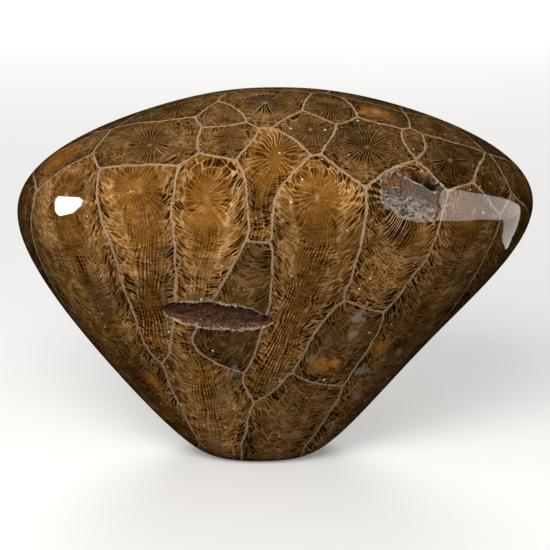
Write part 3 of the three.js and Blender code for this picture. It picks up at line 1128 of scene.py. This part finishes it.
class CORAL_OT_grow_crystals(bpy.types.Operator):
    """Line the vug and the pocket with small crystals"""
    bl_idname = "coral.grow_crystals"
    bl_label = "Grow Crystals"

    def execute(self, context):
        sizes = context.scene.coral_crystals
        stone = bpy.data.objects["coral_stone"]
        clouds = bpy.data.node_groups["mineral_clouds"]
        tree = make_druse_tree()
        plum = make_crystal_material("plum_druse", sizes.plum_colour, sizes.plum_shade, sizes, clouds, 0.45)
        pale = make_crystal_material("pale_rim", sizes.rim_colour, sizes.rim_shade, sizes, clouds, 0.25)
        smoky = make_crystal_material("smoky", sizes.smoke_colour, sizes.smoke_shade, sizes, clouds, 0.5)
        crops = (
            ("vug_druse", "vug", 0.12, 2.0, sizes.vug_spacing, sizes.vug_size, plum, 3),
            ("vug_rim", "vug_crust", 0.0, 0.2, sizes.vug_spacing * 0.8, sizes.vug_size, pale, 5),
            ("pocket_druse", "pocket_crust", 0.1, 2.0, sizes.pocket_spacing, sizes.pocket_size, smoky, 7),
        )
        for name, mark, lowest, highest, spacing, largest, material, seed in crops:
            floor = hollow_floor(stone, mark, lowest, highest)
            settings = {"Spacing": spacing, "Smallest": largest * 0.35, "Largest": largest,
                        "Tilt": sizes.tilt, "Seed": seed, "Material": material}
            druse = grow_druse(name, floor, tree, settings)
            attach(druse, "root")
        return {"FINISHED"}


class CORAL_OT_set_stage(bpy.types.Operator):
    """Set the pale floor, the soft studio lights and the camera"""
    bl_idname = "coral.set_stage"
    bl_label = "Set Stage"

    def execute(self, context):
        look = context.scene.coral_stage
        self.lay_floor(look)
        self.place_camera(context.scene, look)
        # Azimuth from the front towards +X, elevation, distance, width and height, brightness.
        self.hang_light("front_softbox", (-14, 38), 0.36, (0.22, 0.2), look.front_light)
        self.hang_light("back_softbox", (180, 28), 1.4, (0.9, 0.7), look.back_light)
        self.hang_window("left_window", LEFT_WINDOW_PLACE, LEFT_WINDOW, look.left_window)
        self.hang_window("right_window", RIGHT_WINDOW_PLACE, RIGHT_WINDOW, look.right_window)
        self.hang_window("window_foot", RIGHT_WINDOW_PLACE, RIGHT_WINDOW_FOOT, look.window_foot)
        context.scene.world = self.light_surround(look)
        context.scene.view_settings.view_transform = "Standard"
        return {"FINISHED"}

    def light_surround(self, look):
        """A pale even surround, which the polish doesn't mirror."""
        world = bpy.data.worlds.new("studio")
        world.use_nodes = True
        backdrop = world.node_tree.nodes["Background"].inputs
        backdrop["Color"].default_value = (0.96, 0.96, 1.0, 1.0)
        backdrop["Strength"].default_value = look.surround
        world.cycles_visibility.glossy = False
        return world

    def lay_floor(self, look):
        half = look.floor_size / 2
        corners = [(-half, -half, 0), (half, -half, 0), (half, half, 0), (-half, half, 0)]
        mesh = bpy.data.meshes.new("studio_floor")
        mesh.from_pydata(corners, [], [(0, 1, 2, 3)])
        mesh.materials.append(make_floor_material(look))
        floor = add_object("studio_floor", mesh)
        floor.visible_glossy = False
        floor.visible_diffuse = False

    def place_camera(self, scene, look):
        camera = bpy.data.objects.new("camera", bpy.data.cameras.new("camera"))
        scene.collection.objects.link(camera)
        camera.data.lens = look.lens
        distance = look.view_width * look.lens / camera.data.sensor_width
        middle = (CAD_BOX[0][0] + CAD_BOX[1][0]) / 2
        aim = Vector((middle, 0.0, look.look_height))
        away = Vector((0.0, -math.cos(look.elevation), math.sin(look.elevation)))
        camera.location = aim + away * distance
        camera.rotation_euler = away.to_track_quat("Z", "Y").to_euler()
        scene.camera = camera

    def hang_light(self, name, angles, distance, size, brightness):
        """A soft rectangular light from an azimuth and elevation, which the polish doesn't mirror."""
        lamp = bpy.data.lights.new(name, "AREA")
        lamp.shape = "RECTANGLE"
        lamp.size, lamp.size_y = size
        lamp.energy = brightness * math.pi * size[0] * size[1]
        light = bpy.data.objects.new(name, lamp)
        bpy.context.scene.collection.objects.link(light)
        azimuth, elevation = (math.radians(angle) for angle in angles)
        away = Vector((math.sin(azimuth) * math.cos(elevation), -math.cos(azimuth) * math.cos(elevation),
                       math.sin(elevation)))
        centre = Vector((0.0, 0.0, CAD_BOX[1][2] / 2))
        light.location = centre + away * distance
        light.rotation_euler = away.to_track_quat("Z", "Y").to_euler()
        light.visible_glossy = False
        light.visible_camera = False

    def hang_window(self, name, x, corners, brightness):
        """A bright sheet beside the stone, which only the polish shows. Corners are along Y and Z."""
        place = [(x * MM, y * MM, z * MM) for y, z in corners]
        mesh = bpy.data.meshes.new(name)
        mesh.from_pydata(place, [], [tuple(range(len(place)))])
        material, graph, shader = new_material(name)
        graph.feed(shader.inputs["Base Color"], (0.0, 0.0, 0.0, 1.0))
        graph.feed(shader.inputs["Emission Color"], (1.0, 0.94, 0.88, 1.0))
        graph.feed(shader.inputs["Emission Strength"], brightness)
        mesh.materials.append(material)
        window = add_object(name, mesh)
        window.visible_camera = False
        window.visible_diffuse = False
        window.visible_shadow = False


class CORAL_PT_panel(bpy.types.Panel):
    """Lists the steps that build the coral head"""
    bl_label = "Fossil Coral Head"
    bl_idname = "CORAL_PT_panel"
    bl_space_type = "VIEW_3D"
    bl_region_type = "UI"
    bl_category = "Coral"

    def draw(self, context):
        for operator in OPERATORS:
            self.layout.operator(operator.bl_idname)
        for settings in ("coral_stone", "coral_crystals", "coral_stage"):
            box = self.layout.box()
            group = getattr(context.scene, settings)
            for name in group.bl_rna.properties.keys():
                if name not in ("rna_type", "name"):
                    box.prop(group, name)


SETTINGS = {
    "coral_stone": CoralStoneSettings,
    "coral_crystals": CoralCrystalSettings,
    "coral_stage": CoralStageSettings,
}
OPERATORS = (CORAL_OT_carve_stone, CORAL_OT_grow_crystals, CORAL_OT_set_stage)


def register():
    for group in SETTINGS.values():
        bpy.utils.register_class(group)
    for name, group in SETTINGS.items():
        setattr(bpy.types.Scene, name, PointerProperty(type=group))
    for operator in OPERATORS:
        bpy.utils.register_class(operator)
    bpy.utils.register_class(CORAL_PT_panel)


def unregister():
    bpy.utils.unregister_class(CORAL_PT_panel)
    for operator in reversed(OPERATORS):
        bpy.utils.unregister_class(operator)
    for name, group in SETTINGS.items():
        delattr(bpy.types.Scene, name)
        bpy.utils.unregister_class(group)


def main():
    register()
    bpy.ops.coral.carve_stone()
    bpy.ops.coral.grow_crystals()
    bpy.ops.coral.set_stage()


if __name__ == "__main__":
    main()
